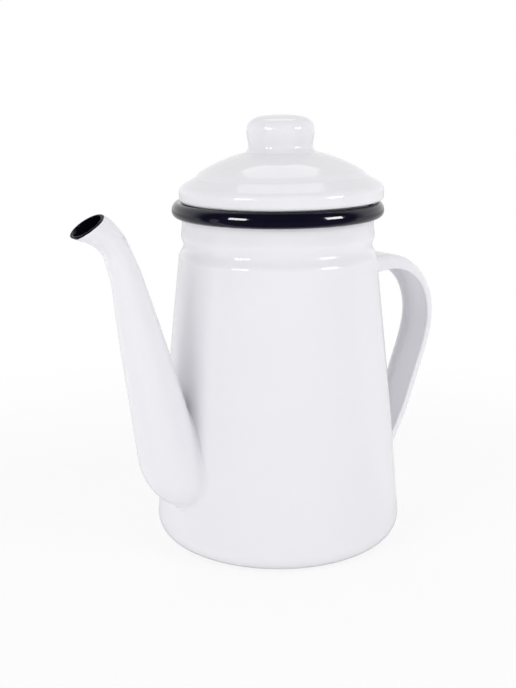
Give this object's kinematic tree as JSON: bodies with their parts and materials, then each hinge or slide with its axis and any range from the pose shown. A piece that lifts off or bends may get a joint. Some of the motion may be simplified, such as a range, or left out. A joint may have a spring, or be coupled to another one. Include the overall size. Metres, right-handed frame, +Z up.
{
  "type": "enamelled hot water can",
  "caption": "Tapered enamelled steel can with a rolled dark rim, a goose-neck spout, a strap handle and a loose domed lid with a round knob.",
  "frame": {"origin": "centre of the flat underside of the base, on the axis of the can", "axes": "+Z up along the axis of the can, +X towards the handle, -X towards the spout, +Y to the right of someone who stands behind the handle and faces the spout"},
  "size_m": [0.2157, 0.1238, 0.2102],
  "materials": {
    "white_enamel": "glossy vitreous enamel, white with a faint cool cast",
    "navy_enamel": "glossy vitreous enamel, navy that looks nearly black",
    "wire_steel": "plain drawn wire, closed in by the rim"
  },
  "bodies": {
    "can": {"base_pan": "white_enamel", "body_wall": "white_enamel", "rim_bead": "navy_enamel", "rim_wire": "wire_steel", "spout_left_half": "white_enamel", "spout_right_half": "white_enamel", "spout_lip": "navy_enamel", "handle_strap": "white_enamel"},
    "lid": {"lid_dome": "white_enamel", "lid_collar": "white_enamel", "knob": "white_enamel"}
  },
  "joints": [
    {"name": "lid_lift", "type": "slide", "parent": "can", "child": "lid", "axis": [0, 0, 1], "range_m": [0, 0.06]}
  ]
}
